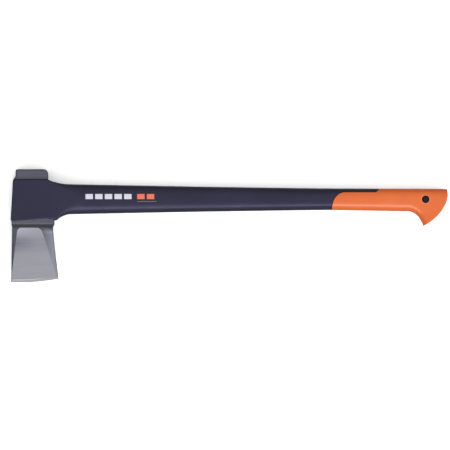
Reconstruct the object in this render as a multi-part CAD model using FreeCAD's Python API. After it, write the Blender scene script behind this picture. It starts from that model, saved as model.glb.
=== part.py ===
"""Splitting maul: a forged steel head with a hammer poll, moulded into a hollow glass-filled nylon shaft.

Every size is in millimetres. The maul lies on its side: +X runs along the handle from the head to the
pommel, +Y points out of the poll and -Y out of the cutting edge, and +Z is up through the cheeks.
Shapes are drawn at design stations: `u` is the distance from the front of the head along the handle,
`v` the height above the handle's centre line and `w` the distance sideways from the middle plane.
`place` then moves a finished solid so that the origin is at the middle of the maul's underside.
"""

import math
import os

import FreeCAD
import Part

# ---- driving dimensions -------------------------------------------------------------------------
TOTAL_LENGTH = 770.0
POLL_TOP = 52.7  # height of the striking face above the handle's centre line
EDGE_DEPTH = 146.7  # lowest point of the cutting edge below the centre line

# collar: the moulding round the head, with the flat cheeks that the maul lies on
COLLAR_HALF_WIDTH = 26.0
COLLAR_TOP = 34.5
COLLAR_FRONT_LEAN = 4.2  # the front leans back by this much between the collar's bottom and top
COLLAR_FLOOR_FRONT, COLLAR_FLOOR_REAR = -38.6, -33.6  # the underside climbs towards the handle
COLLAR_END = 66.0
COLLAR_ROUND = 1.8
LOBE_U, LOBE_DEPTH, LOBE_LIFT = 77.5, 37.3, 0.8  # the moulding wraps down behind the steel shoulder

# shaft: an oval that tapers from the neck to the grip
NECK_END = 105.0
CHEEK_END = 132.0  # where the narrowing of the cheeks has died out
NECK_TOP_RADIUS = 95.7
NECK_LOW_U, NECK_LOW_V, NECK_LOW_RADIUS = 109.5, -68.2, 42.0  # the hollow sweep under the neck
SHAFT_HALF_DEPTH_NECK, SHAFT_HALF_DEPTH_GRIP = 26.3, 19.3
EARLY_SLIMMING, TOP_SINK, BELLY = 0.32, 0.4, 0.5  # slims faster near the head, sinks on top, swells below
SHAFT_HALF_WIDTH_NECK, GRIP_HALF_WIDTH = 16.5, 15.0
SEAM_STEP = 0.08  # the faintest of steps where the shaft meets the collar and the grip
GRIP_ROLL = 14.0  # radius of the rounding along the grip's four corners
OVAL_END, OVAL_FLAT, OVAL_FULLNESS = 380.0, 1.6, 0.64  # the shaft's section is a full oval up to here
WALL = 4.0
CAVITY_START = 136.0

# grip and pommel
GRIP_START = 560.0
GRIP_TOP_START, GRIP_TOP_END = 18.9, 18.0
PALM_END, PALM_LOW = 695.0, -21.5
GRIP_FRONT, GRIP_FRONT_LOW = 565.3, -19.4
TONGUE_START, TONGUE_FLOOR = 589.0, 12.7
TONGUE_END, TONGUE_SLANT = 643.7, 7.0
GRIP_WALL, CORE_WALL = 3.0, 3.5
CORE_END = 696.0
HOOK_BEND, HOOK_KNEE = (710.5, -24.5), (719.4, -32.6)
HOOK_INSIDE, HOOK_TIP = (724.0, -40.6), (727.0, -47.4)
END_BELLY, END_LOWER, END_NOSE = (749.5, -31.8), (763.5, -13.5), (TOTAL_LENGTH, 7.2)
END_CORNER, END_UPPER = (768.5, 17.4), (769.3, 15.2)
END_ROUND = 2.0

# cross pin, and the plug that closes the hollow shaft
PIN_U, PIN_V, PIN_RADIUS = 730.9, -0.4, 6.35
PIN_RECESS = 0.9
PIN_DISH_RADIUS, PIN_DISH_DEPTH = 4.6, 0.9
PLUG_START, PLUG_FLANGE = 640.0, 4.0
TAIL_END, TAIL_HALF_WIDTH, TAIL_LOW, TAIL_HIGH = 750.0, 8.0, -13.0, 12.0
TAIL_ROUND = 3.0

# head: poll, waist inside the collar, shoulder, wedge and edge
POLL_FRONT, POLL_REAR, POLL_HALF_WIDTH = 8.9, 66.0, 21.0
POLL_FRONT_RADIUS, POLL_REAR_RADIUS, POLL_SIDE_RADIUS = 3.2, 8.8, 3.0
POLL_FOOT_FRONT, POLL_FOOT_LOW, POLL_FOOT_HIGH = 5.6, 36.5, 41.0
POLL_DEPTH_IN_COLLAR = 12.0
WAIST_FRONT, WAIST_REAR, WAIST_HALF_WIDTH = 14.0, 59.0, 10.0
WAIST_ROUND, WAIST_OVERLAP = 4.0, 4.0
KEY_HOLE_U, KEY_HOLE_V, KEY_HOLE_RADIUS = 37.0, -4.0, 9.0
SHOULDER_FRONT, SHOULDER_REAR, SHOULDER_HALF_WIDTH = 1.6, 77.1, 23.4
SHOULDER_TOP, SHOULDER_BOTTOM, STEP_BOTTOM = -30.0, -43.8, -51.5
SHOULDER_ROUND, SHOULDER_LIP = 3.5, 1.2
HOLLOW_RISE, HOLLOW_REACH = 0.6, 2.0  # how the hollow under the shoulder bows
TOE_TOP, TOE_BOTTOM, TOE_CORNER = (2.4, -51.5), (0.4, -140.0), (1.4, -146.2)
HEEL_TOP, HEEL_SWING, HEEL_BOTTOM, HEEL_CORNER = (74.6, -51.5), (79.3, -94.0), (84.5, -136.6), (84.7, -140.3)
EDGE_LOW_POINT = (34.0, -146.5)
WEDGE_HALF_TOP, WEDGE_HALF_EDGE, EDGE_HALF = 15.4, 2.4, 0.3
BEVEL_TOP = -142.2
FLANK_HEEL_TOP, FLANK_HEEL_BOTTOM = (54.3, -57.3), (83.3, -137.4)
FLANK_TOE_TOP, FLANK_TOE_BOTTOM = (11.6, -58.1), (0.6, -133.0)
FLANK_HEEL_DROP, FLANK_TOE_DROP = 0.30, 0.34  # how steeply the flanks fall away from the ground cheek
FLANK_START, FLANK_SLOPE, FLANK_MARGIN = -60.0, 0.9, 5.0

# where the handle's sections are drawn
NECK_STATIONS = (COLLAR_END, 71.5, LOBE_U, 80.5, 84.0, 88.0, 93.0, 98.5, NECK_END, 114.0, 123.0, CHEEK_END)
SHAFT_STATIONS = (CHEEK_END, 170.0, 230.0, 300.0, OVAL_END, 470.0, GRIP_START)

ROUND = 0.5523  # Bezier handle length that draws a quarter of an ellipse
Z_AXIS = FreeCAD.Vector(0, 0, 1)
BEYOND = 60.0  # how far cutting shapes run past what they cut


def point(u, v, w=0.0):
    return FreeCAD.Vector(u, v, w)


def place(shape):
    """Moves a solid from the design stations to the part's own frame."""
    moved = shape.copy()
    moved.translate(point(-TOTAL_LENGTH / 2, (EDGE_DEPTH - POLL_TOP) / 2, COLLAR_HALF_WIDTH))
    return moved


def between(share, start, end):
    return start + (end - start) * min(1.0, max(0.0, share))


def eased(share, start, end):
    """Start to end along half a cosine wave, so the curve leaves and arrives level."""
    share = min(1.0, max(0.0, share))
    return start + (end - start) * (1 - math.cos(math.pi * share)) / 2


def line(start, end):
    return Part.LineSegment(point(*start), point(*end)).toShape()


def arc(start, middle, end):
    return Part.Arc(point(*start), point(*middle), point(*end)).toShape()


def roll_curve(start, corner, end, fullness):
    """Rounds a corner: `ROUND` draws a quarter of an ellipse, and more than that a fuller curve."""
    curve = Part.BezierCurve()
    curve.setPoles([start, start + (corner - start) * fullness, end + (corner - end) * fullness, end])
    return curve.toShape()


def slab(edges, half_width):
    """A closed outline in the middle plane, thickened by half_width to each side."""
    face = Part.Face(Part.Wire(edges))
    face.translate(point(0, 0, -half_width))
    return face.extrude(Z_AXIS * 2 * half_width)


def polygon(*corners):
    closed = [point(*corner) for corner in corners]
    return Part.makePolygon(closed + closed[:1]).Edges


def box(low, high):
    """A block between two opposite corners."""
    low, high = point(*low), point(*high)
    size = high - low
    return Part.makeBox(size.x, size.y, size.z, low)


def cross_rod(u, v, radius, half_length):
    return Part.makeCylinder(radius, 2 * half_length, point(u, v, -half_length), Z_AXIS)


def edges_where(shape, test):
    """Edges whose middle point passes the test."""
    return [e for e in shape.Edges if test(e.valueAt((e.FirstParameter + e.LastParameter) / 2))]


def one_solid(shape):
    """The largest solid of a boolean's result, cleaned of split faces."""
    return max(shape.removeSplitter().Solids, key=lambda s: s.Volume)


# ---- handle sections ----------------------------------------------------------------------------
def rounded_ring(u, low, high, half_width, roll_depth, roll_width, fullness=ROUND):
    """Upright section at station u: four flats joined by rolls, each tangent to both its flats."""
    side_low, side_high = low + roll_depth, high - roll_depth
    flat, wide = half_width - roll_width, half_width
    corners = [
        (point(u, high, flat), point(u, high, wide), point(u, side_high, wide)),
        (point(u, side_low, wide), point(u, low, wide), point(u, low, flat)),
        (point(u, low, -flat), point(u, low, -wide), point(u, side_low, -wide)),
        (point(u, side_high, -wide), point(u, high, -wide), point(u, high, -flat)),
    ]
    edges = []
    for index, (start, corner, end) in enumerate(corners):
        edges.append(roll_curve(start, corner, end, fullness))
        edges.append(Part.LineSegment(end, corners[(index + 1) % 4][0]).toShape())
    return Part.Wire(edges)


def handle_ring(u, inset=0.0):
    """The handle's section at station u: a box at the collar, a full oval along the shaft."""
    taper = between((u - NECK_END) / (GRIP_START - NECK_END), 0.0, 1.0)
    taper = taper * (1 + EARLY_SLIMMING * (1 - taper))
    depth = between(taper, SHAFT_HALF_DEPTH_NECK, SHAFT_HALF_DEPTH_GRIP)
    high = min(COLLAR_TOP, depth + max(0.0, NECK_END - u) ** 2 / (2 * NECK_TOP_RADIUS))
    low = -depth - BELLY * (1 - taper)
    if u < NECK_LOW_U:
        sweep = NECK_LOW_V + math.sqrt(NECK_LOW_RADIUS ** 2 - min(NECK_LOW_RADIUS, NECK_LOW_U - u) ** 2)
        low = max(-LOBE_DEPTH, min(sweep, low))
    if u < LOBE_U:
        low = eased((u - COLLAR_END) / (LOBE_U - COLLAR_END), COLLAR_FLOOR_REAR + LOBE_LIFT, -LOBE_DEPTH)
    if u > CHEEK_END:
        high = eased((u - CHEEK_END) / (GRIP_START - CHEEK_END), depth, depth - TOP_SINK)
    slim = (u - COLLAR_END) / (CHEEK_END - COLLAR_END)
    width = eased(slim, COLLAR_HALF_WIDTH, between(taper, SHAFT_HALF_WIDTH_NECK, GRIP_HALF_WIDTH))
    squaring = eased((u - OVAL_END) / (GRIP_START - OVAL_END), 0.0, 1.0)
    oval_depth = between(squaring, (high - low) / 2 - OVAL_FLAT, GRIP_ROLL)
    oval_width = between(squaring, width - OVAL_FLAT, GRIP_ROLL)
    roll_depth = eased(slim, COLLAR_ROUND, oval_depth)
    roll_width = eased(slim, COLLAR_ROUND, oval_width)
    fullness = between(squaring, OVAL_FULLNESS, ROUND)
    if u in (COLLAR_END, GRIP_START):
        inset += SEAM_STEP
    roll_depth, roll_width = max(roll_depth - inset, 1.0), max(roll_width - inset, 1.0)
    return rounded_ring(u, low + inset, high - inset, width - inset, roll_depth, roll_width, fullness)


def handle_loft(stations, inset=0.0):
    """The handle's outside through the stations, or a copy inset from it."""
    return Part.makeLoft([handle_ring(u, inset) for u in stations], True, False)


def grip_core(start, end, inset):
    """A straight length inside the grip, inset from the grip's outside."""
    rings = []
    for u in (start, end):
        high = between((u - GRIP_START) / (TOTAL_LENGTH - GRIP_START), GRIP_TOP_START, GRIP_TOP_END)
        low = between((u - GRIP_START) / (PALM_END - GRIP_START), -SHAFT_HALF_DEPTH_GRIP, PALM_LOW)
        roll = GRIP_ROLL - inset
        rings.append(rounded_ring(u, low + inset, high - inset, GRIP_HALF_WIDTH - inset, roll, roll))
    return Part.makeLoft(rings, True, False)


def collar_body():
    """The moulding round the head: flat cheeks, a leaning front and a climbing underside."""
    front_top = (COLLAR_FRONT_LEAN, COLLAR_TOP)
    front_low = (0.0, COLLAR_FLOOR_FRONT)
    rear_low = (COLLAR_END, COLLAR_FLOOR_REAR)
    body = slab(polygon(front_low, rear_low, (COLLAR_END, COLLAR_TOP), front_top), COLLAR_HALF_WIDTH)
    outer = edges_where(body, lambda p: p.x < COLLAR_END - 1 and abs(p.z) > COLLAR_HALF_WIDTH - 1)
    ends = edges_where(body, lambda p: p.x < COLLAR_FRONT_LEAN + 1 and abs(p.z) < 1)
    return body.makeFillet(COLLAR_ROUND, outer + ends)


def neck_body():
    """From the collar's flat cheeks to the oval shaft, with the lobe behind the steel shoulder."""
    return handle_loft(NECK_STATIONS)


def rolled_grip():
    """Grip and pommel rounded along the top, the palm and the hook, run on past the blunt end."""
    below = (HOOK_TIP[0] + 3.0, HOOK_TIP[1] - BEYOND / 2)
    far = TOTAL_LENGTH + BEYOND / 2
    start_low, start_high = (GRIP_START, -SHAFT_HALF_DEPTH_GRIP), (GRIP_START, GRIP_TOP_START)
    body = slab([
        line(start_low, (PALM_END, PALM_LOW)),
        arc((PALM_END, PALM_LOW), HOOK_BEND, HOOK_KNEE),
        arc(HOOK_KNEE, HOOK_INSIDE, HOOK_TIP),
        line(HOOK_TIP, below),
        line(below, (far, below[1])),
        line((far, below[1]), (far, GRIP_TOP_END)),
        line((far, GRIP_TOP_END), start_high),
        line(start_high, start_low),
    ], GRIP_HALF_WIDTH)

    def along_hand(p):
        on_top = p.y > GRIP_TOP_END - 1
        on_palm = p.x < HOOK_TIP[0] + 4 and p.y > below[1] + 1
        return abs(p.z) > 1 and GRIP_START + 1 < p.x < far - 1 and (on_top or on_palm)

    return body.makeFillet(GRIP_ROLL, edges_where(body, along_hand))


def pommel_outline():
    """Side outline that trims the rolled grip to its blunt, softly edged end."""
    left, ceiling, floor = GRIP_START - 1, GRIP_TOP_START + 1, HOOK_TIP[1] - 12
    corner_start = (END_CORNER[0] - END_ROUND, GRIP_TOP_END + 0.1)
    body = slab([
        line((left, ceiling), corner_start),
        arc(corner_start, END_CORNER, END_UPPER),
        arc(END_UPPER, END_NOSE, END_LOWER),
        arc(END_LOWER, END_BELLY, HOOK_TIP),
        line(HOOK_TIP, (HOOK_TIP[0] - 8, floor)),
        line((HOOK_TIP[0] - 8, floor), (left, floor)),
        line((left, floor), (left, ceiling)),
    ], GRIP_HALF_WIDTH)

    def on_end(p):
        return abs(p.z) > 1 and p.x > HOOK_TIP[0] + 2 and p.y < GRIP_TOP_END - 1

    return body.makeFillet(END_ROUND, edges_where(body, on_end))


def grip_outside():
    return one_solid(rolled_grip().common(pommel_outline()))


def moulded_grip_zone():
    """Everything that the soft grip covers: all but the shaft's tongue, which stays bare on top."""
    low, high, far = HOOK_TIP[1] - BEYOND, GRIP_TOP_START + 5, TOTAL_LENGTH + BEYOND
    slant_end = (TONGUE_END + TONGUE_SLANT, GRIP_TOP_END + 0.5)
    over = (slant_end[0] + TONGUE_SLANT * 0.8, high)
    front = roll_curve(point(GRIP_FRONT, GRIP_FRONT_LOW), point(GRIP_FRONT, TONGUE_FLOOR),
                       point(TONGUE_START, TONGUE_FLOOR), ROUND)
    return slab([
        line((GRIP_FRONT, low), (GRIP_FRONT, GRIP_FRONT_LOW)),
        front,
        line((TONGUE_START, TONGUE_FLOOR), (TONGUE_END, TONGUE_FLOOR)),
        line((TONGUE_END, TONGUE_FLOOR), slant_end),
        line(slant_end, over),
        line(over, (far, high)),
        line((far, high), (far, low)),
        line((far, low), (GRIP_FRONT, low)),
    ], BEYOND)


# ---- head ---------------------------------------------------------------------------------------
def poll_outline():
    """The poll from the side: flared foot, tight front corner, level striking face, round rear corner."""
    foot = COLLAR_TOP - POLL_DEPTH_IN_COLLAR
    front, rear = POLL_FRONT_RADIUS, POLL_REAR_RADIUS
    front_bow, rear_bow = front * (1 - math.sqrt(0.5)), rear * (1 - math.sqrt(0.5))
    flare_low, flare_high = (POLL_FOOT_FRONT, POLL_FOOT_LOW), (POLL_FRONT, POLL_FOOT_HIGH)
    front_start, front_end = (POLL_FRONT, POLL_TOP - front), (POLL_FRONT + front, POLL_TOP)
    rear_start, rear_end = (POLL_REAR - rear, POLL_TOP), (POLL_REAR, POLL_TOP - rear)
    return slab([
        line((POLL_FOOT_FRONT, foot), flare_low),
        line(flare_low, flare_high),
        line(flare_high, front_start),
        arc(front_start, (POLL_FRONT + front_bow, POLL_TOP - front_bow), front_end),
        line(front_end, rear_start),
        arc(rear_start, (POLL_REAR - rear_bow, POLL_TOP - rear_bow), rear_end),
        line(rear_end, (POLL_REAR, foot)),
        line((POLL_REAR, foot), (POLL_FOOT_FRONT, foot)),
    ], POLL_HALF_WIDTH)


def poll_and_waist():
    """The hammer poll over a narrower waist, which the collar grips and keys through."""
    poll = poll_outline()
    rims = edges_where(poll, lambda p: abs(p.z) > 1 and p.y > POLL_FOOT_HIGH)
    poll = poll.makeFillet(POLL_SIDE_RADIUS, rims)
    low, high = SHOULDER_TOP - WAIST_OVERLAP, COLLAR_TOP - WAIST_OVERLAP
    waist = box((WAIST_FRONT, low, -WAIST_HALF_WIDTH), (WAIST_REAR, high, WAIST_HALF_WIDTH))
    waist = waist.makeFillet(WAIST_ROUND, edges_where(waist, lambda p: abs(p.y) < 10))
    key_hole = cross_rod(KEY_HOLE_U, KEY_HOLE_V, KEY_HOLE_RADIUS, BEYOND)
    return poll.fuse(waist).cut(key_hole)


def blade_outline():
    """The head below the waist from the side: shoulder, step, toe, curved edge and heel."""
    shoulder_front, shoulder_rear = (SHOULDER_FRONT, SHOULDER_TOP), (SHOULDER_REAR, SHOULDER_TOP)
    front_step, rear_step = (SHOULDER_FRONT, SHOULDER_BOTTOM), (SHOULDER_REAR, SHOULDER_BOTTOM)
    return slab([
        line(shoulder_front, front_step),
        line(front_step, TOE_TOP),
        line(TOE_TOP, TOE_BOTTOM),
        line(TOE_BOTTOM, TOE_CORNER),
        arc(TOE_CORNER, EDGE_LOW_POINT, HEEL_CORNER),
        line(HEEL_CORNER, HEEL_BOTTOM),
        arc(HEEL_BOTTOM, HEEL_SWING, HEEL_TOP),
        line(HEEL_TOP, rear_step),
        line(rear_step, shoulder_rear),
        line(shoulder_rear, shoulder_front),
    ], BEYOND)


def shoulder_limits():
    """Rounds the shoulder's four upright corners and leaves everything below it alone."""
    low_corner = (SHOULDER_FRONT, STEP_BOTTOM, -SHOULDER_HALF_WIDTH)
    block = box(low_corner, (SHOULDER_REAR, SHOULDER_TOP, SHOULDER_HALF_WIDTH))
    middle = (STEP_BOTTOM + SHOULDER_TOP) / 2
    block = block.makeFillet(SHOULDER_ROUND, edges_where(block, lambda p: abs(p.y - middle) < 1))
    below = box((-BEYOND, -EDGE_DEPTH - 1, -BEYOND), (2 * BEYOND, STEP_BOTTOM, BEYOND))
    return block.fuse(below)


def profile_side(sign):
    """One side of the blade from the front, as its edges with the first and last point."""
    def at(v, w):
        return point(-BEYOND, v, sign * w)

    top = at(SHOULDER_TOP, SHOULDER_HALF_WIDTH + 1)
    lip_start = at(SHOULDER_BOTTOM + SHOULDER_LIP, SHOULDER_HALF_WIDTH)
    lip_bow = SHOULDER_LIP * (1 - math.sqrt(0.5))
    lip_middle = at(SHOULDER_BOTTOM + lip_bow, SHOULDER_HALF_WIDTH - lip_bow)
    lip_end = at(SHOULDER_BOTTOM, SHOULDER_HALF_WIDTH - SHOULDER_LIP)
    hollow_middle = at((SHOULDER_BOTTOM + STEP_BOTTOM) / 2 + HOLLOW_RISE, WEDGE_HALF_TOP + HOLLOW_REACH)
    root = at(STEP_BOTTOM, WEDGE_HALF_TOP)
    bevel = at(BEVEL_TOP, WEDGE_HALF_EDGE)
    tip = at(-EDGE_DEPTH, EDGE_HALF)
    edges = [
        line(top, lip_start),
        arc(lip_start, lip_middle, lip_end),
        arc(lip_end, hollow_middle, root),
        line(root, bevel),
        line(bevel, tip),
    ]
    return edges, top, tip


def blade_profile():
    """The blade from the front: shoulder, hollow step, flat-ground wedge and bevel."""
    right, right_top, right_tip = profile_side(1)
    left, left_top, left_tip = profile_side(-1)
    closing = [line(right_tip, left_tip), line(left_top, right_top)]
    outline = Part.Wire(Part.sortEdges(right + left + closing)[0])
    return Part.Face(outline).extrude(point(3 * BEYOND, 0))


def cheek_half_width(v):
    """Half thickness of the ground cheek at height v."""
    share = (v - STEP_BOTTOM) / (BEVEL_TOP - STEP_BOTTOM)
    return WEDGE_HALF_TOP + (WEDGE_HALF_EDGE - WEDGE_HALF_TOP) * share


def flank_cutter(top, bottom, drop, sign):
    """Removes the corner of a cheek: a plane through two points of it that falls away sideways."""
    steer = (bottom[0] - top[0]) / (bottom[1] - top[1])
    low = -EDGE_DEPTH - FLANK_MARGIN
    corners = []
    for v, reach in ((FLANK_START, -FLANK_MARGIN), (FLANK_START, BEYOND), (low, BEYOND), (low, -FLANK_MARGIN)):
        u = top[0] + (v - top[1]) * steer + math.copysign(1.0, drop) * reach
        corners.append(point(u, v, sign * (cheek_half_width(v) - abs(drop) * reach)))
    face = Part.Face(Part.makePolygon(corners + corners[:1]))
    return face.extrude(point(0, FLANK_SLOPE * BEYOND, sign * BEYOND))


def head():
    """Forged steel in one piece: poll, waist, shoulder and wedge, with both cheeks' corners ground off."""
    blade = blade_outline().common(blade_profile()).common(shoulder_limits())
    for sign in (1, -1):
        blade = blade.cut(flank_cutter(FLANK_HEEL_TOP, FLANK_HEEL_BOTTOM, FLANK_HEEL_DROP, sign))
        blade = blade.cut(flank_cutter(FLANK_TOE_TOP, FLANK_TOE_BOTTOM, -FLANK_TOE_DROP, sign))
    return one_solid(poll_and_waist().fuse(blade))


# ---- handle pieces ------------------------------------------------------------------------------
def pin_hole():
    return cross_rod(PIN_U, PIN_V, PIN_RADIUS, BEYOND)


def cross_pin():
    """A pin through the pommel and the plug's tail, with a shallow dish in each end."""
    half = GRIP_HALF_WIDTH - PIN_RECESS
    pin = cross_rod(PIN_U, PIN_V, PIN_RADIUS, half)
    for sign in (1, -1):
        dish = Part.makeCone(PIN_DISH_RADIUS, PIN_DISH_RADIUS - PIN_DISH_DEPTH, PIN_DISH_DEPTH,
                             point(PIN_U, PIN_V, sign * half), point(0, 0, -sign))
        pin = pin.cut(dish)
    return one_solid(pin)


def end_plug():
    """Fills the shaft's open end, covers its rim and reaches into the pommel as a drilled tail."""
    bore = grip_core(PLUG_START, CORE_END, GRIP_WALL + CORE_WALL)
    flange = grip_core(CORE_END, CORE_END + PLUG_FLANGE, GRIP_WALL)
    tail = box((CORE_END + 1, TAIL_LOW, -TAIL_HALF_WIDTH), (TAIL_END, TAIL_HIGH, TAIL_HALF_WIDTH))
    tail = tail.makeFillet(TAIL_ROUND, edges_where(tail, lambda p: p.x > CORE_END + 5))
    return one_solid(bore.fuse(flange).fuse(tail).cut(pin_hole()))


def handle_shaft(outside, zone, steel):
    """One hollow moulding: collar round the head, neck, oval shaft, tongue and the core of the grip."""
    shaft = handle_loft(SHAFT_STATIONS)
    tongue = outside.cut(zone)
    core = grip_core(GRIP_START, CORE_END, GRIP_WALL)
    solid = collar_body().fuse(neck_body()).fuse(shaft).fuse(tongue).fuse(core)
    hollow = handle_loft([CAVITY_START, GRIP_START], WALL)
    hollow = hollow.fuse(grip_core(GRIP_START - 1, CORE_END + 1, GRIP_WALL + CORE_WALL))
    return one_solid(solid.cut(hollow).cut(steel))


def grip(outside, zone, plug):
    """The soft orange moulding over the shaft's end, with the hooked pommel."""
    core = grip_core(GRIP_START, CORE_END, GRIP_WALL)
    return one_solid(outside.common(zone).cut(core).cut(plug).cut(pin_hole()))


def main():
    os.makedirs("parts", exist_ok=True)
    outside, zone = grip_outside(), moulded_grip_zone()
    steel, plug = head(), end_plug()
    pieces = {
        "maul_head": steel,
        "handle_shaft": handle_shaft(outside, zone, steel),
        "end_plug": plug,
        "grip": grip(outside, zone, plug),
        "cross_pin": cross_pin(),
    }
    for name, shape in pieces.items():
        place(shape).exportStep(f"parts/{name}.step")


main()
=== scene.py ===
import math

import bmesh
import bpy
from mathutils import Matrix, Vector
from mathutils.bvhtree import BVHTree


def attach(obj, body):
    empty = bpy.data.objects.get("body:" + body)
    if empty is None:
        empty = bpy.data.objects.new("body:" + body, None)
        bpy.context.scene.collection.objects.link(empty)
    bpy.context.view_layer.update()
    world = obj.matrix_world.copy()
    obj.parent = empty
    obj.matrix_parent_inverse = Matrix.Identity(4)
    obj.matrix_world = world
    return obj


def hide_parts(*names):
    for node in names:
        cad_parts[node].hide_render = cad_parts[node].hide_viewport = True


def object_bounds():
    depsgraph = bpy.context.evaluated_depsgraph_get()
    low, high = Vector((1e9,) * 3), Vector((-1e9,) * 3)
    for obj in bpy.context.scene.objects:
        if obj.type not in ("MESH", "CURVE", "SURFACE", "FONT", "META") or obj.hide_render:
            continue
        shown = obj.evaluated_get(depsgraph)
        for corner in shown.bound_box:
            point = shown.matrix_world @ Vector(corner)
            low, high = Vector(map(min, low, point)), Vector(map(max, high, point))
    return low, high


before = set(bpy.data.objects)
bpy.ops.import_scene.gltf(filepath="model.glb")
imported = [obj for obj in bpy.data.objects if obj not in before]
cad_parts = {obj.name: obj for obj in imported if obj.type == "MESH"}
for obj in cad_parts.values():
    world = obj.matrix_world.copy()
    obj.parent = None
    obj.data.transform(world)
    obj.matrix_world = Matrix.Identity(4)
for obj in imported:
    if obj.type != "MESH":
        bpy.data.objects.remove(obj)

cad_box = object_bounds()
MM = 0.001
CAD_LOW, CAD_HIGH = cad_box
MIDDLE = (Vector(CAD_LOW) + Vector(CAD_HIGH)) / 2

# Design stations in millimetres: u along the handle from the head, v above the centre line, w sideways.
TOTAL_LENGTH = 770.0
POLL_TOP, EDGE_DEPTH = 52.7, 146.7
HALF_THICKNESS = 26.0

# Steel head, at the same stations.
POLL_FRONT, POLL_REAR, POLL_HALF_WIDTH, POLL_FOOT = 8.9, 66.0, 20.9, 26.0
POLL_FLARE, POLL_FLARE_LOW, POLL_FLARE_TOP = 3.2, 35.5, 41.5
POLL_FRONT_ROUND, POLL_REAR_ROUND, POLL_SIDE_ROUND = 3.4, 8.6, 3.2
SHOULDER_FRONT, SHOULDER_REAR, SHOULDER_HALF_WIDTH = 1.6, 77.0, 23.3
BLADE_TOP, SHOULDER_BOTTOM, STEP_BOTTOM = -30.5, -43.4, -52.5
TOE_STEP, TOE_LOW = 2.5, 0.5
HEEL_STEP, HEEL_LOW, HEEL_CURVE = 74.5, 84.6, 1.06
EDGE_MIDDLE_U, EDGE_ARC_RADIUS = 12.9, 410.0
WEDGE_HALF_TOP, WEDGE_HALF_LOW, EDGE_HALF = 15.3, 2.5, 0.3
BEVEL_HEIGHT = 4.4
BLADE_CORNER, BLADE_CORNER_SHARE = 2.2, 0.8  # rounding, and its most per half thickness
EDGE_LIFT_START = -100.0  # below this the rows of the mesh bend towards the curve of the edge
BLADE_ROWS, BLADE_COLUMNS, CROWDING = 190, 110, 0.10
CHEEK_TOP, CHEEK_CORNER, CHEEK_CURVE = -50.5, 7.0, 0.93
CHEEK_HEEL_TOP, CHEEK_HEEL_LOW = 52.8, 84.0
CHEEK_TOE_TOP, CHEEK_TOE_LOW = 12.4, 0.2
HEEL_FLANK_SLOPE, TOE_FLANK_SLOPE = 0.30, 0.34
FLARE_STEPS, CORNER_STEPS, RIM_STEP = 12, 16, 9

# Where the tones on the steel fade in and out, at the same stations.
# Painted reflection: the coat is lighter on the heel-side flank below the step.
HEEL_SHEEN_U, HEEL_SHEEN_V = (52, 74), (-50, -56)
# Painted shade: a dark band on the coat along the hollow step below the shoulder.
STEP_SHADE_LOWER, STEP_SHADE_UPPER = (-58, -51), (-47, -43)
# Below this height the ground cheek turns a touch darker towards the edge.
EDGEWARD_TOP = -72
# Partly heat tint, partly painted dark reflection: a darker band across the ground cheek, strongest
# towards the toe.
TINT_REFLECTION_UPPER, TINT_REFLECTION_LOWER, TINT_REFLECTION_U = (-53, -76), (-100, -80), (8, 45)
# Partly fresh grinding, partly painted highlight: a lighter patch at the top of the ground cheek,
# towards the toe.
FRESH_HIGHLIGHT_V, FRESH_HIGHLIGHT_U = (-70, -52), (14, 50)

# Grip and pommel, at the same stations.
GRIP_START, GRIP_TOP_START, GRIP_TOP_END, GRIP_LOW_START = 560.0, 18.9, 18.0, -19.3
GRIP_HALF_WIDTH, GRIP_HALF_DEPTH, GRIP_CROWN = 15.0, 19.5, 2.4
PALM_END, HOOK_BEND, HOOK_KNEE = (695.0, -21.5), (710.5, -24.5), (719.4, -32.6)
HOOK_INSIDE, HOOK_TIP = (724.0, -40.6), (727.0, -47.4)
END_BELLY, END_LOWER, END_NOSE = (749.5, -31.8), (763.5, -13.5), (769.95, 7.2)
END_UPPER, END_CORNER, END_TOP = (769.3, 15.2), (768.5, 17.4), (766.5, 18.0)
END_ROUND = 2.0
PIN_U, PIN_V, PIN_HOLE = 730.9, -0.4, 6.9
DRILL_LENGTH, DRILL_SIDES = 100.0, 96
PALM_STEPS, BEND_STEPS, TIP_STEPS = 40, 24, 16
BELLY_STEPS, NOSE_STEPS, TOP_STEPS, CREST_STEPS = 24, 20, 6, 60
EVEN_COLUMNS, EVEN_SHARE, GRIP_ROWS = 150, 0.985, 52
CLOSE_COLUMNS = (0.988, 0.991, 0.994, 0.9965, 0.9985, 1.0)  # tighter towards the rim at the end
CREASE_ANGLE = 50

# Print and joint lines on the handle, at the same stations.
WHITE_START, WHITE_BLOCKS, ORANGE_START, ORANGE_BLOCKS = 132.0, 5, 223.0, 2
BLOCK_PITCH, BLOCK_LENGTH, BLOCK_LOW, BLOCK_HIGH = 17.0, 13.0, 0.0, 9.0
RULE_LOW, RULE_DEPTH, INK_THICKNESS = -4.6, 0.9, 0.05
INK_COLUMNS, INK_ROWS = 10, 8
SEAM_FRONT, SEAM_LOW, SEAM_HIGH = 565.3, -19.0, 18.2
SEAM_RADIUS, SEAM_SINK = 0.6, 0.55  # sunk by this share of its radius
TONGUE_START, TONGUE_FLOOR, TONGUE_END, TONGUE_SLANT = 589.0, 12.7, 643.7, 7.0
SWEEP_STEPS, EDGE_STEPS, SLANT_STEPS = 24, 12, 8
COLLAR_TOP = 34.5

# Studio, in metres.
FLOOR_SIZE, FLOOR_ALBEDO = 8.0, 0.96
KEY_SPOT, KEY_WIDTH, KEY_DEPTH, KEY_POWER = (0.15, -1.22, 1.45), 2.2, 0.42, 30
DOME_LEAN, DOME_HORIZON, DOME_OVERHEAD = (0.30, -0.15, 0.94), 0.58, 2.1
CAMERA_DISTANCE, CAMERA_X, CAMERA_Y = 20.0, -0.0074, 0.0014
VIEW_WIDTH, CLIP_END, SENSOR_WIDTH = 0.7930, 100.0, 36.0  # the sensor in millimetres


def place(u, v, w=0.0):
    """A design station as a point in the part's frame, in metres."""
    return Vector((u - TOTAL_LENGTH / 2, v + (EDGE_DEPTH - POLL_TOP) / 2, w + HALF_THICKNESS)) * MM


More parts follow.
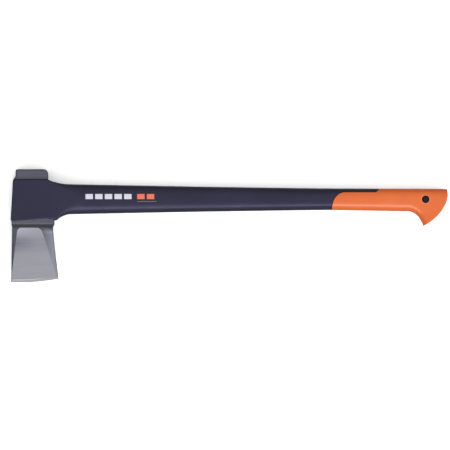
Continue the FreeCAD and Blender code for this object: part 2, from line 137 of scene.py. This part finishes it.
# ---- material helpers ---------------------------------------------------------------------------
class Nodes:
    """A short way to write node materials."""

    def __init__(self, name):
        self.material = bpy.data.materials.new(name)
        self.material.use_nodes = True
        self.tree = self.material.node_tree
        self.shader = self.tree.nodes["Principled BSDF"]
        self.place = self.add("ShaderNodeNewGeometry").outputs["Position"]

    def add(self, kind, **settings):
        node = self.tree.nodes.new(kind)
        for key, value in settings.items():
            setattr(node, key, value)
        return node

    def link(self, source, target):
        self.tree.links.new(source, target)

    def feed(self, target, value):
        if isinstance(value, bpy.types.NodeSocket):
            self.link(value, target)
        else:
            target.default_value = value

    def math(self, operation, *values):
        node = self.add("ShaderNodeMath", operation=operation)
        for socket, value in zip(node.inputs, values):
            self.feed(socket, value)
        return node.outputs[0]

    def hypotenuse(self, across, up):
        squares = [self.math("POWER", side, 2.0) for side in (across, up)]
        return self.math("SQRT", self.math("ADD", *squares))

    def noise(self, scale, detail=4.0, roughness=0.5, stretch=(1, 1, 1)):
        scaled = self.add("ShaderNodeVectorMath", operation="MULTIPLY")
        self.link(self.place, scaled.inputs[0])
        scaled.inputs[1].default_value = stretch
        node = self.add("ShaderNodeTexNoise")
        self.link(scaled.outputs[0], node.inputs["Vector"])
        node.inputs["Scale"].default_value = scale
        node.inputs["Detail"].default_value = detail
        node.inputs["Roughness"].default_value = roughness
        return node.outputs["Fac"]

    def ramp(self, value, low, high, start=0.0, end=1.0):
        """Maps value from start..end onto low..high, held at both ends."""
        node = self.add("ShaderNodeMapRange", clamp=True)
        self.link(value, node.inputs["Value"])
        node.inputs["From Min"].default_value = start
        node.inputs["From Max"].default_value = end
        node.inputs["To Min"].default_value = low
        node.inputs["To Max"].default_value = high
        return node.outputs["Result"]

    def mix(self, share, first, second):
        node = self.add("ShaderNodeMix", data_type="RGBA")
        self.feed(node.inputs["Factor"], share)
        self.feed(node.inputs[6], first)
        self.feed(node.inputs[7], second)
        return node.outputs[2]

    def axis(self, letter):
        node = self.add("ShaderNodeSeparateXYZ")
        self.link(self.place, node.inputs[0])
        return node.outputs[letter]

    def bump(self, height, distance, strength=1.0, base=None):
        node = self.add("ShaderNodeBump")
        node.inputs["Distance"].default_value = distance
        node.inputs["Strength"].default_value = strength
        self.link(height, node.inputs["Height"])
        if base is not None:
            self.link(base, node.inputs["Normal"])
        return node.outputs["Normal"]


def rgb(red, green, blue):
    """Screen colour 0..255 as a linear shader colour."""
    linear = []
    for value in (red, green, blue):
        share = value / 255
        linear.append(share / 12.92 if share <= 0.04045 else ((share + 0.055) / 1.055) ** 2.4)
    return (*linear, 1.0)


# ---- materials ----------------------------------------------------------------------------------
def moulded_black(name, tone=(16, 16, 23), gloss=0.29, tint=(0.60, 0.58, 1.0, 1)):
    """Glass-filled nylon: satin, finely pitted, with faint flow streaks along the handle."""
    n = Nodes(name)
    streaks = n.noise(260, 3, 0.6, (0.12, 1, 1))
    pits = n.noise(2600, 2, 0.5)
    patches = n.noise(14, 3)
    lighter = tuple(c * 1.3 for c in tone)
    colour = n.mix(n.ramp(patches, 0, 1, 0.35, 0.65), rgb(*tone), rgb(*lighter))
    n.link(colour, n.shader.inputs["Base Color"])
    n.link(n.ramp(streaks, 0.31, 0.40, 0.3, 0.7), n.shader.inputs["Roughness"])
    fine = n.bump(pits, 0.00010, 0.4)
    n.link(n.bump(streaks, 0.00008, 0.3, fine), n.shader.inputs["Normal"])
    n.shader.inputs["Specular IOR Level"].default_value = gloss
    n.shader.inputs["Specular Tint"].default_value = tint
    return n.material


def moulded_orange():
    """Soft-touch overmoulding: fine grain, slightly rubbed patches, a paler ring round the pin."""
    n = Nodes("orange_grip")
    grain = n.noise(1900, 3, 0.6)
    handled = n.noise(22, 4)
    u, v = stations(n)
    across = n.math("SUBTRACT", u, PIN_U)
    along = n.math("SUBTRACT", v, PIN_V)
    reach = n.hypotenuse(across, along)
    colour = n.mix(n.ramp(handled, 0, 1, 0.35, 0.7), rgb(164, 70, 10), rgb(169, 75, 15))
    colour = n.mix(n.ramp(reach, 0.5, 0, PIN_HOLE + 0.4, PIN_HOLE + 1.6), colour, rgb(190, 120, 84))
    n.link(colour, n.shader.inputs["Base Color"])
    n.link(n.ramp(handled, 0.28, 0.34, 0.35, 0.7), n.shader.inputs["Roughness"])
    n.link(n.bump(grain, 0.00008, 0.4), n.shader.inputs["Normal"])
    n.shader.inputs["Specular IOR Level"].default_value = 0.36
    return n.material


def stations(n):
    """The design stations u and v of the shaded point, in millimetres."""
    u = n.math("MULTIPLY_ADD", n.axis("X"), 1 / MM, TOTAL_LENGTH / 2)
    v = n.math("MULTIPLY_ADD", n.axis("Y"), 1 / MM, -(EDGE_DEPTH - POLL_TOP) / 2)
    return u, v


def cheek_mask(n, u, v):
    """1 inside the ground cheek: a tapering panel with rounded upper corners."""
    down = n.ramp(v, 0, 1, CHEEK_TOP, -EDGE_DEPTH)
    heel = n.ramp(n.math("POWER", down, CHEEK_CURVE), CHEEK_HEEL_TOP, CHEEK_HEEL_LOW)
    toe = n.ramp(down, CHEEK_TOE_TOP, CHEEK_TOE_LOW)
    sideways = n.math("MAXIMUM", n.math("SUBTRACT", u, heel), n.math("SUBTRACT", toe, u))
    sideways = n.math("ADD", sideways, CHEEK_CORNER)
    upward = n.math("ADD", n.math("SUBTRACT", v, CHEEK_TOP), CHEEK_CORNER)
    corner = n.hypotenuse(n.math("MAXIMUM", sideways, 0.0), n.math("MAXIMUM", upward, 0.0))
    inner = n.math("MINIMUM", n.math("MAXIMUM", sideways, upward), 0.0)
    outside = n.math("SUBTRACT", n.math("ADD", corner, inner), CHEEK_CORNER)
    return n.ramp(outside, 1, 0, -0.5, 0.5)


def head_steel():
    """Dark-coated forging, bare where the cheeks are ground, honed along the cutting edge.

    The heel-side sheen is a painted reflection and the step band is painted shade. The tinted band
    is partly a heat tint, partly a painted dark reflection; the fresh patch is partly fresh grinding,
    partly a painted highlight. These tones are set by place, so they stay where they are when the
    light or the camera moves.
    """
    dark_coat, light_coat = rgb(50, 51, 61), rgb(57, 57, 68)
    # Painted light: the lighter heel-side coat is a painted reflection, the dark step coat is painted
    # shade.
    heel_sheen_coat, step_shade_coat = rgb(92, 92, 104), rgb(34, 34, 38)
    # The second ground tone is a touch darker, used towards the edge.
    upper_ground, edgeward_ground = rgb(104, 104, 111), rgb(101, 101, 107)
    # Painted light: the tinted tone is partly a painted dark reflection, the fresh tone partly a painted
    # highlight.
    tint_dark_reflection_ground, fresh_highlight_ground = rgb(78, 78, 88), rgb(120, 120, 130)
    dark_stroke, bright_stroke, honed_steel = rgb(80, 80, 88), rgb(160, 160, 168), rgb(100, 100, 103)
    n = Nodes("forged_steel")
    u, v = stations(n)
    mottle = n.noise(60, 6, 0.65)
    peel = n.noise(900, 3)
    strokes = n.noise(1100, 5, 0.7, (0.02, 1, 0.3))
    broad_strokes = n.noise(120, 3, 0.6, (0.05, 1, 0.3))
    coat = n.mix(n.ramp(mottle, 0, 1, 0.3, 0.7), dark_coat, light_coat)
    # Painted reflection: a lighter coat on the heel-side flank below the step.
    heel_sheen = n.math("MULTIPLY", n.ramp(u, 0, 1, *HEEL_SHEEN_U), n.ramp(v, 0, 1, *HEEL_SHEEN_V))
    coat = n.mix(heel_sheen, coat, heel_sheen_coat)
    # Painted shade: a dark band on the coat along the hollow step below the shoulder.
    step_shade = n.math("MULTIPLY", n.ramp(v, 0, 1, *STEP_SHADE_LOWER), n.ramp(v, 1, 0, *STEP_SHADE_UPPER))
    coat = n.mix(step_shade, coat, step_shade_coat)
    # The ground cheek turns a touch darker towards the edge.
    edgeward = n.ramp(v, 0, 1, EDGEWARD_TOP, -EDGE_DEPTH)
    # Partly heat tint, partly painted dark reflection: a darker band across the ground cheek, strongest
    # towards the toe.
    tint_and_dark_reflection = n.math("MULTIPLY", n.ramp(v, 0, 1, *TINT_REFLECTION_UPPER), n.ramp(v, 0, 1, *TINT_REFLECTION_LOWER))
    tint_and_dark_reflection = n.math("MULTIPLY", tint_and_dark_reflection, n.ramp(u, 1, 0.4, *TINT_REFLECTION_U))
    # Partly fresh grinding, partly painted highlight: a lighter patch at the top of the ground cheek,
    # towards the toe.
    fresh_and_highlight = n.math("MULTIPLY", n.ramp(v, 0, 1, *FRESH_HIGHLIGHT_V), n.ramp(u, 1, 0.3, *FRESH_HIGHLIGHT_U))
    ground = n.mix(edgeward, upper_ground, edgeward_ground)
    ground = n.mix(tint_and_dark_reflection, ground, tint_dark_reflection_ground)
    ground = n.mix(fresh_and_highlight, ground, fresh_highlight_ground)
    ground = n.mix(n.ramp(broad_strokes, 0.06, 0, 0.3, 0.7), ground, dark_stroke)
    ground = n.mix(n.ramp(strokes, 0, 0.09, 0.4, 0.75), ground, bright_stroke)
    cheek = cheek_mask(n, u, v)
    off_middle = n.math("POWER", n.math("SUBTRACT", u, EDGE_MIDDLE_U), 2.0)
    edge = n.math("MULTIPLY_ADD", off_middle, 0.5 / EDGE_ARC_RADIUS, -EDGE_DEPTH)
    honed = n.ramp(n.math("SUBTRACT", v, edge), 1, 0, BEVEL_HEIGHT - 0.3, BEVEL_HEIGHT + 0.3)
    bare = n.math("MAXIMUM", cheek, honed)
    colour = n.mix(cheek, coat, ground)
    colour = n.mix(honed, colour, honed_steel)
    n.link(colour, n.shader.inputs["Base Color"])
    n.link(n.ramp(bare, 0.42, 0.92), n.shader.inputs["Metallic"])
    rough_coat = n.ramp(mottle, 0.46, 0.56, 0.3, 0.7)
    rough_ground = n.ramp(strokes, 0.30, 0.42, 0.3, 0.7)
    blend = n.add("ShaderNodeMix", data_type="FLOAT")
    n.link(bare, blend.inputs["Factor"])
    n.link(rough_coat, blend.inputs[2])
    n.link(rough_ground, blend.inputs[3])
    n.link(blend.outputs[0], n.shader.inputs["Roughness"])
    height = n.math("MULTIPLY", strokes, n.math("MULTIPLY", bare, 0.5))
    height = n.math("ADD", height, n.math("MULTIPLY", peel, n.math("SUBTRACT", 1.0, bare)))
    rim = n.bump(n.math("MULTIPLY", cheek, -1.0), 0.00025, 0.8)
    n.link(n.bump(height, 0.00012, 0.5, rim), n.shader.inputs["Normal"])
    return n.material


def pale_floor():
    """Matt and nearly white, with a faint unevenness."""
    n = Nodes("studio_floor")
    n.shader.inputs["Base Color"].default_value = (FLOOR_ALBEDO, FLOOR_ALBEDO, FLOOR_ALBEDO, 1)
    n.link(n.ramp(n.noise(3, 2), 0.80, 0.86), n.shader.inputs["Roughness"])
    return n.material


# ---- steel head ---------------------------------------------------------------------------------
def share_of(value, start, end):
    """How far value is from start to end, held between 0 and 1."""
    return min(1.0, max(0.0, (value - start) / (end - start)))


def smooth(value, start, end):
    """The same, easing in and out."""
    share = share_of(value, start, end)
    return share * share * (3 - 2 * share)


def mix_of(share, first, second):
    """The value that lies a share of the way from first to second."""
    return first + (second - first) * share


def edge_line(u):
    """Height of the cutting edge at station u."""
    return -EDGE_DEPTH + (EDGE_ARC_RADIUS - math.sqrt(EDGE_ARC_RADIUS ** 2 - (u - EDGE_MIDDLE_U) ** 2))


def blade_ends(v):
    """Front and rear station of the blade at height v."""
    step = smooth(v, SHOULDER_BOTTOM, STEP_BOTTOM + 2)
    fall = share_of(v, STEP_BOTTOM, -EDGE_DEPTH)
    front = mix_of(step, SHOULDER_FRONT, mix_of(fall, TOE_STEP, TOE_LOW))
    rear = mix_of(step, SHOULDER_REAR, mix_of(fall ** HEEL_CURVE, HEEL_STEP, HEEL_LOW))
    return front, rear


def blade_half_width(u, v):
    """Half thickness of the steel below the collar: shoulder, hollow step, wedge, flanks and bevel."""
    fall = share_of(v, STEP_BOTTOM, -EDGE_DEPTH + BEVEL_HEIGHT)
    wedge = mix_of(fall, WEDGE_HALF_TOP, WEDGE_HALF_LOW)
    down = share_of(v, CHEEK_TOP, -EDGE_DEPTH)
    heel_line = mix_of(down ** CHEEK_CURVE, CHEEK_HEEL_TOP, CHEEK_HEEL_LOW)
    toe_line = mix_of(down, CHEEK_TOE_TOP, CHEEK_TOE_LOW)
    flank = max(0.0, (u - heel_line) * HEEL_FLANK_SLOPE, (toe_line - u) * TOE_FLANK_SLOPE)
    shoulder = 1 - smooth(v, SHOULDER_BOTTOM + 1.5, STEP_BOTTOM + 1)
    half = wedge - flank * smooth(v, SHOULDER_BOTTOM - 3, STEP_BOTTOM - 9)
    half = mix_of(shoulder, half, SHOULDER_HALF_WIDTH)
    above_edge = v - edge_line(u)
    bevel = mix_of(share_of(above_edge, 0.0, BEVEL_HEIGHT), EDGE_HALF, WEDGE_HALF_LOW)
    return max(EDGE_HALF, min(half, bevel if above_edge < BEVEL_HEIGHT else half))


def tube_mesh(name, loops):
    """A closed smooth solid from equally long loops of points, capped at both ends."""
    mesh = bpy.data.meshes.new(name)
    build = bmesh.new()
    rows = [[build.verts.new(p) for p in loop] for loop in loops]
    count = len(rows[0])
    for upper, lower in zip(rows, rows[1:]):
        for k in range(count):
            build.faces.new((upper[k], upper[(k + 1) % count], lower[(k + 1) % count], lower[k]))
    build.faces.new(rows[0])
    build.faces.new(list(reversed(rows[-1])))
    bmesh.ops.recalc_face_normals(build, faces=build.faces)
    build.to_mesh(mesh)
    build.free()
    for face in mesh.polygons:
        face.use_smooth = True
    piece = bpy.data.objects.new(name, mesh)
    bpy.context.scene.collection.objects.link(piece)
    return piece


def blade_loop(level):
    """One loop round the blade: along the near cheek and back along the far one."""
    drop = share_of(level, EDGE_LIFT_START, -EDGE_DEPTH)
    near = []
    front, rear = blade_ends(level)
    for k in range(BLADE_COLUMNS + 1):
        share = k / BLADE_COLUMNS
        share = share - CROWDING * math.sin(2 * math.pi * share)  # points crowd towards both ends
        u = mix_of(share, front, rear)
        v = level + drop * (edge_line(u) + EDGE_DEPTH)
        half = blade_half_width(u, v)
        rounding = min(BLADE_CORNER, half * BLADE_CORNER_SHARE)
        inside = min(u - front, rear - u, rounding)
        half -= rounding - math.sqrt(max(0.0, rounding ** 2 - (rounding - inside) ** 2))
        near.append((u, v, half))
    cheek = [place(*p) for p in near]
    far = [place(u, v, -half) for u, v, half in reversed(near)]
    return cheek + far


def steel_blade(material):
    """Shoulder, wedge and cutting edge, as one dense smooth skin."""
    levels = [BLADE_TOP + (-EDGE_DEPTH - BLADE_TOP) * k / BLADE_ROWS for k in range(BLADE_ROWS + 1)]
    piece = tube_mesh("steel_blade", [blade_loop(level) for level in levels])
    piece.data.materials.append(material)
    return piece


def poll_outline(inset):
    """The poll from the side, shrunk by inset: flared foot, tight front corner, round rear corner."""
    front, rear, top = POLL_FRONT + inset, POLL_REAR - inset, POLL_TOP - inset
    points = [(front - POLL_FLARE, POLL_FOOT)]
    for k in range(FLARE_STEPS + 1):
        v = mix_of(k / FLARE_STEPS, POLL_FLARE_LOW, POLL_FLARE_TOP)
        points.append((front - POLL_FLARE * (1 - smooth(v, POLL_FLARE_LOW, POLL_FLARE_TOP)), v))
    for radius, middle_u, first in ((POLL_FRONT_ROUND, front, 180), (POLL_REAR_ROUND, rear, 90)):
        radius = max(0.6, radius - inset)
        centre = middle_u + (radius if first == 180 else -radius)
        for k in range(CORNER_STEPS + 1):
            angle = math.radians(first - 90 * k / CORNER_STEPS)
            points.append((centre + radius * math.cos(angle), top - radius + radius * math.sin(angle)))
    points.append((rear, POLL_FOOT))
    return points


def steel_poll(material):
    """The hammer poll: its side outline stacked across the width, with both rims rounded over."""
    angles = [math.radians(a) for a in range(0, 91, RIM_STEP)]
    rims = [(POLL_SIDE_ROUND * (1 - math.cos(a)), POLL_SIDE_ROUND * (1 - math.sin(a))) for a in angles]
    half = [(inset, POLL_HALF_WIDTH - drop) for inset, drop in rims]
    layers = [(inset, w) for inset, w in reversed(half)] + [(inset, -w) for inset, w in half]
    loops = [[place(u, v, w) for u, v in poll_outline(inset)] for inset, w in layers]
    piece = tube_mesh("steel_poll", loops)
    for face in piece.data.polygons:
        face.use_smooth = len(face.vertices) == 4
    piece.data.materials.append(material)
    return piece


# ---- grip ---------------------------------------------------------------------------------------
def through(start, middle, end, count):
    """Points along the circle from start through middle to end, without the start itself."""
    (ax, ay), (bx, by), (cx, cy) = start, middle, end
    twice = 2 * (ax * (by - cy) + bx * (cy - ay) + cx * (ay - by))
    a2, b2, c2 = ax * ax + ay * ay, bx * bx + by * by, cx * cx + cy * cy
    ox = (a2 * (by - cy) + b2 * (cy - ay) + c2 * (ay - by)) / twice
    oy = (a2 * (cx - bx) + b2 * (ax - cx) + c2 * (bx - ax)) / twice
    first, last = math.atan2(ay - oy, ax - ox), math.atan2(cy - oy, cx - ox)
    sweep = (last - first + math.pi) % (2 * math.pi) - math.pi
    radius = math.hypot(ax - ox, ay - oy)
    angles = [first + sweep * k / count for k in range(1, count + 1)]
    return [(ox + radius * math.cos(t), oy + radius * math.sin(t)) for t in angles]


def grip_top(u):
    """Height of the grip's upper line at station u."""
    return mix_of((u - GRIP_START) / (TOTAL_LENGTH - GRIP_START), GRIP_TOP_START, GRIP_TOP_END)


def grip_low(u):
    """Height of the grip's underside at station u."""
    return mix_of((u - GRIP_START) / (PALM_END[0] - GRIP_START), GRIP_LOW_START, PALM_END[1])


def palm_route():
    """Underside of the grip: the straight palm, then down inside the hook to its tip."""
    stops = [mix_of(k / PALM_STEPS, SEAM_FRONT, PALM_END[0]) for k in range(PALM_STEPS + 1)]
    palm = [(u, grip_low(u)) for u in stops]
    bend = through(PALM_END, HOOK_BEND, HOOK_KNEE, BEND_STEPS)
    return palm + bend + through(HOOK_KNEE, HOOK_INSIDE, HOOK_TIP, TIP_STEPS)


def end_route():
    """The blunt end from the hook's tip up to the top corner."""
    belly = through(HOOK_TIP, END_BELLY, END_LOWER, BELLY_STEPS)
    nose = through(END_LOWER, END_NOSE, END_UPPER, NOSE_STEPS)
    return [HOOK_TIP] + belly + nose + through(END_UPPER, END_CORNER, END_TOP, TOP_STEPS)


def crest_route():
    """The upper border: the seam round the black tongue, then the grip's top to the end."""
    start = TONGUE_END + TONGUE_SLANT
    stops = [mix_of(k / CREST_STEPS, start, END_TOP[0]) for k in range(1, CREST_STEPS + 1)]
    return seam_route() + [(u, grip_top(u)) for u in stops]


def walk(route, shares):
    """Points at the given shares of a route's length."""
    lengths = [0.0]
    for a, b in zip(route, route[1:]):
        lengths.append(lengths[-1] + math.dist(a, b))
    spots, k = [], 0
    for share in shares:
        target = share * lengths[-1]
        while k < len(route) - 2 and lengths[k + 1] < target:
            k += 1
        part = share_of(target, lengths[k], lengths[k + 1])
        spots.append(tuple(mix_of(part, a, b) for a, b in zip(route[k], route[k + 1])))
    return spots


def gap_to(route, u, v):
    """Shortest distance from a point to a route."""
    best = math.inf
    for (au, av), (bu, bv) in zip(route, route[1:]):
        du, dv = bu - au, bv - av
        along = min(1.0, max(0.0, ((u - au) * du + (v - av) * dv) / max(1e-9, du * du + dv * dv)))
        best = min(best, math.hypot(u - au - along * du, v - av - along * dv))
    return best


def grip_half_width(u, v, palm, end):
    """Crowned section: full in the middle, rolled over at top and palm, softly rimmed at the end."""
    depth = min(max(0.0, grip_top(u) - v), gap_to(palm, u, v), GRIP_HALF_DEPTH)
    inward = 1 - depth / GRIP_HALF_DEPTH
    half = GRIP_HALF_WIDTH * (1 - inward ** GRIP_CROWN) ** (1 / GRIP_CROWN)
    rim = min(END_ROUND, gap_to(end, u, v))
    half -= END_ROUND - math.sqrt(END_ROUND ** 2 - (END_ROUND - rim) ** 2)
    return max(0.02, half)


def soft_grip(material):
    """The orange moulding as one crowned skin over grip and pommel, drilled for the pin."""
    palm, end = palm_route(), end_route()
    columns = [k / EVEN_COLUMNS * EVEN_SHARE for k in range(EVEN_COLUMNS + 1)] + list(CLOSE_COLUMNS)
    rows = [(1 - math.cos(math.pi * k / GRIP_ROWS)) / 2 for k in range(GRIP_ROWS + 1)]
    low, high, rear = walk(palm, columns), walk(crest_route(), columns), walk(end, rows)
    front = palm[0]
    near, far = [], []
    build = bmesh.new()
    for s, lower, upper in zip(columns, low, high):
        near_row, far_row = [], []
        for t, behind in zip(rows, rear):
            spot = []
            for axis in (0, 1):
                along_palm = mix_of(s, front[axis], HOOK_TIP[axis])
                corners = mix_of(t, along_palm, mix_of(s, front[axis], END_TOP[axis]))
                blend = mix_of(t, lower[axis], upper[axis]) + mix_of(s, front[axis], behind[axis])
                spot.append(blend - corners)
            half = grip_half_width(*spot, palm, end)
            near_row.append(build.verts.new(place(*spot, half)))
            far_row.append(build.verts.new(place(*spot, -half)))
        near.append(near_row)
        far.append(far_row)
    last = len(rows) - 1
    for i in range(len(columns) - 1):
        for j in range(last):
            build.faces.new((near[i][j], near[i + 1][j], near[i + 1][j + 1], near[i][j + 1]))
            build.faces.new((far[i][j], far[i][j + 1], far[i + 1][j + 1], far[i + 1][j]))
        build.faces.new((near[i][0], far[i][0], far[i + 1][0], near[i + 1][0]))
        build.faces.new((near[i][last], near[i + 1][last], far[i + 1][last], far[i][last]))
    for j in range(last):
        build.faces.new((near[-1][j], far[-1][j], far[-1][j + 1], near[-1][j + 1]))
        build.faces.new((near[0][j], near[0][j + 1], far[0][j + 1], far[0][j]))
    bmesh.ops.remove_doubles(build, verts=build.verts, dist=0.01 * MM)
    bmesh.ops.recalc_face_normals(build, faces=build.faces)
    mesh = bpy.data.meshes.new("soft_grip")
    build.to_mesh(mesh)
    build.free()
    piece = bpy.data.objects.new("soft_grip", mesh)
    bpy.context.scene.collection.objects.link(piece)
    drill(piece)
    for face in piece.data.polygons:
        face.use_smooth = True
    piece.data.set_sharp_from_angle(angle=math.radians(CREASE_ANGLE))
    piece.data.materials.clear()
    piece.data.materials.append(material)
    return piece


def drill(piece):
    """Cuts the pin's hole right through a piece."""
    bpy.ops.mesh.primitive_cylinder_add(vertices=DRILL_SIDES, radius=PIN_HOLE * MM,
                                        depth=DRILL_LENGTH * MM, location=place(PIN_U, PIN_V))
    cutter = bpy.context.object
    cut = piece.modifiers.new("pin_hole", "BOOLEAN")
    cut.operation = "DIFFERENCE"
    cut.solver = "EXACT"
    cut.object = cutter
    solid = bpy.data.meshes.new_from_object(piece.evaluated_get(bpy.context.evaluated_depsgraph_get()))
    piece.modifiers.clear()
    piece.data = solid
    bpy.data.objects.remove(cutter)


# ---- details on the handle ----------------------------------------------------------------------
def surface_finder(*pieces):
    """A function that gives the height of the outermost surface of the pieces at a station, or None."""
    trees = [BVHTree.FromObject(piece, bpy.context.evaluated_depsgraph_get()) for piece in pieces]

    def height(u, v, side):
        start = place(u, v, side * 2 * HALF_THICKNESS)
        hits = [tree.ray_cast(start, Vector((0, 0, -side)))[0] for tree in trees]
        levels = [side * (hit.z / MM - HALF_THICKNESS) for hit in hits if hit]
        return side * max(levels) if levels else None

    return height


def ink(name, colour):
    """Pad-printed ink: flat colour, slightly worn through and a touch glossier than the nylon."""
    n = Nodes(name)
    wear = n.noise(900, 4, 0.7)
    worn_through = rgb(60, 60, 70)
    share = n.ramp(wear, 0.25, 0, 0.28, 0.5)
    n.link(n.mix(share, rgb(*colour), worn_through), n.shader.inputs["Base Color"])
    n.link(n.ramp(wear, 0.35, 0.5), n.shader.inputs["Roughness"])
    return n.material


def printed_block(name, start, end, low, high, height, material):
    """An upright rectangle of ink that follows the moulded surface."""
    mesh = bpy.data.meshes.new(name)
    build = bmesh.new()
    rows = []
    for j in range(INK_ROWS + 1):
        v = mix_of(j / INK_ROWS, low, high)
        stops = [mix_of(i / INK_COLUMNS, start, end) for i in range(INK_COLUMNS + 1)]
        rows.append([build.verts.new(place(u, v, height(u, v, 1) + INK_THICKNESS)) for u in stops])
    for lower, upper in zip(rows, rows[1:]):
        for i in range(INK_COLUMNS):
            build.faces.new((lower[i], lower[i + 1], upper[i + 1], upper[i]))
    build.to_mesh(mesh)
    build.free()
    for face in mesh.polygons:
        face.use_smooth = True
    mesh.materials.append(material)
    piece = bpy.data.objects.new(name, mesh)
    bpy.context.scene.collection.objects.link(piece)
    return piece


def printed_marks(height):
    """Plain upright blocks near the neck, white then orange, over a thin grey rule."""
    white, orange, grey = (158, 157, 168), (176, 74, 44), (80, 79, 92)
    pieces = []
    for name, colour, first, count in (("white", white, WHITE_START, WHITE_BLOCKS),
                                       ("orange", orange, ORANGE_START, ORANGE_BLOCKS)):
        material = ink(f"ink_{name}", colour)
        for k in range(count):
            start = first + k * BLOCK_PITCH
            sides = (start, start + BLOCK_LENGTH, BLOCK_LOW, BLOCK_HIGH)
            pieces.append(printed_block(f"block_{name}_{k}", *sides, height, material))
    end = ORANGE_START + ORANGE_BLOCKS * BLOCK_PITCH
    rule = (ORANGE_START, end, RULE_LOW, RULE_LOW + RULE_DEPTH)
    pieces.append(printed_block("rule_grey", *rule, height, ink("ink_grey", grey)))
    return pieces


def seam_route():
    """Where the orange moulding meets the shaft: a quarter of an ellipse, the tongue's edge, a slant."""
    route = []
    reach, rise = TONGUE_START - SEAM_FRONT, TONGUE_FLOOR - SEAM_LOW
    for k in range(SWEEP_STEPS + 1):
        angle = math.radians(180 - 90 * k / SWEEP_STEPS)
        route.append((TONGUE_START + reach * math.cos(angle), SEAM_LOW + rise * math.sin(angle)))
    for k in range(1, EDGE_STEPS + 1):
        route.append((mix_of(k / EDGE_STEPS, TONGUE_START, TONGUE_END), TONGUE_FLOOR))
    for k in range(1, SLANT_STEPS + 1):
        share = k / SLANT_STEPS
        u = mix_of(share, TONGUE_END, TONGUE_END + TONGUE_SLANT)
        route.append((u, mix_of(share, TONGUE_FLOOR, SEAM_HIGH)))
    return route


def joint_line(name, spots, material, closed=False):
    """A fine dark bead along a joint between two materials."""
    curve = bpy.data.curves.new(name, "CURVE")
    curve.dimensions = "3D"
    curve.bevel_depth = SEAM_RADIUS * MM
    curve.bevel_resolution = 2
    line = curve.splines.new("POLY")
    line.points.add(len(spots) - 1)
    for spot, dot in zip(spots, line.points):
        dot.co = (*spot, 1)
    line.use_cyclic_u = closed
    curve.materials.append(material)
    piece = bpy.data.objects.new(name, curve)
    bpy.context.scene.collection.objects.link(piece)
    return piece


def joint_lines(height, material):
    """Joint lines round the front of the grip on both sides, and round the poll's foot."""
    pieces = []
    for side, name in ((1, "seam_near"), (-1, "seam_far")):
        spots = [(u, v, height(u, v, side)) for u, v in seam_route()]
        spots = [place(u, v, w - side * SEAM_RADIUS * SEAM_SINK) for u, v, w in spots if w is not None]
        pieces.append(joint_line(name, spots, material))
    front, rear = POLL_FRONT - POLL_FLARE, POLL_REAR
    corners = [(front, 1), (rear, 1), (rear, -1), (front, -1)]
    foot = [place(u, COLLAR_TOP, side * POLL_HALF_WIDTH) for u, side in corners]
    pieces.append(joint_line("seam_poll", foot, material, closed=True))
    return pieces


def dress(node, material):
    """Gives a CAD node its finish."""
    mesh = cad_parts[node].data
    mesh.materials.clear()
    mesh.materials.append(material)


# ---- studio -------------------------------------------------------------------------------------
def add_floor():
    """A pale floor that takes shadows but sends no light and no reflection back to the maul."""
    bpy.ops.mesh.primitive_grid_add(x_subdivisions=2, y_subdivisions=2, size=FLOOR_SIZE)
    floor = bpy.context.object
    floor.name = "studio_floor"
    floor.data.materials.append(pale_floor())
    floor.visible_diffuse = False
    floor.visible_glossy = False


def add_softbox(name, spot, width, height, power):
    """A white rectangular light aimed at the middle of the maul."""
    light = bpy.data.lights.new(name, "AREA")
    light.shape = "RECTANGLE"
    light.size, light.size_y = width, height
    light.energy = power
    holder = bpy.data.objects.new(name, light)
    holder.location = spot
    holder.rotation_euler = (MIDDLE - Vector(spot)).to_track_quat("-Z", "Y").to_euler()
    bpy.context.scene.collection.objects.link(holder)


def add_world(horizon, overhead):
    """Soft dome: brightest overhead, a little towards the pommel and the cutting edge."""
    world = bpy.data.worlds.new("studio")
    world.use_nodes = True
    tree = world.node_tree
    way = tree.nodes.new("ShaderNodeTexCoord")
    lean = tree.nodes.new("ShaderNodeVectorMath")
    lean.operation = "DOT_PRODUCT"
    lean.inputs[1].default_value = DOME_LEAN
    ramp = tree.nodes.new("ShaderNodeValToRGB")
    tree.links.new(way.outputs["Generated"], lean.inputs[0])
    tree.links.new(lean.outputs["Value"], ramp.inputs["Fac"])
    ramp.color_ramp.elements[0].color = (horizon, horizon, horizon, 1)
    ramp.color_ramp.elements[1].color = (overhead, overhead, overhead, 1)
    tree.links.new(ramp.outputs["Color"], tree.nodes["Background"].inputs["Color"])
    bpy.context.scene.world = world


def add_camera():
    """Looks straight down with a long lens, the poll side up in the frame."""
    camera = bpy.data.cameras.new("camera")
    camera.sensor_width = SENSOR_WIDTH
    camera.lens = SENSOR_WIDTH * CAMERA_DISTANCE / VIEW_WIDTH
    camera.clip_end = CLIP_END
    holder = bpy.data.objects.new("camera", camera)
    holder.location = (CAMERA_X, CAMERA_Y, CAMERA_DISTANCE + HALF_THICKNESS * MM)
    bpy.context.scene.collection.objects.link(holder)
    bpy.context.scene.camera = holder


def main():
    """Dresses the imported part, adds its details and sets up the studio."""
    bpy.context.scene.view_settings.view_transform = "Standard"
    steel = head_steel()
    for piece in (steel_blade(steel), steel_poll(steel)):
        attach(piece, "root")
        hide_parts("maul_head")
    dress("handle_shaft", moulded_black("black_nylon"))
    dress("end_plug", moulded_black("plug_nylon"))
    dress("cross_pin", moulded_black("pin_nylon", (14, 11, 12), 0.12, (1, 0.8, 0.8, 1)))
    orange = soft_grip(moulded_orange())
    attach(orange, "root")
    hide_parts("grip")
    height = surface_finder(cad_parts["handle_shaft"], orange)
    for piece in printed_marks(height):
        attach(piece, "root")
    for piece in joint_lines(height, moulded_black("seam_shadow", (18, 12, 12), 0.1)):
        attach(piece, "root")
    add_floor()
    add_softbox("key", KEY_SPOT, KEY_WIDTH, KEY_DEPTH, KEY_POWER)
    add_world(DOME_HORIZON, DOME_OVERHEAD)
    add_camera()


main()
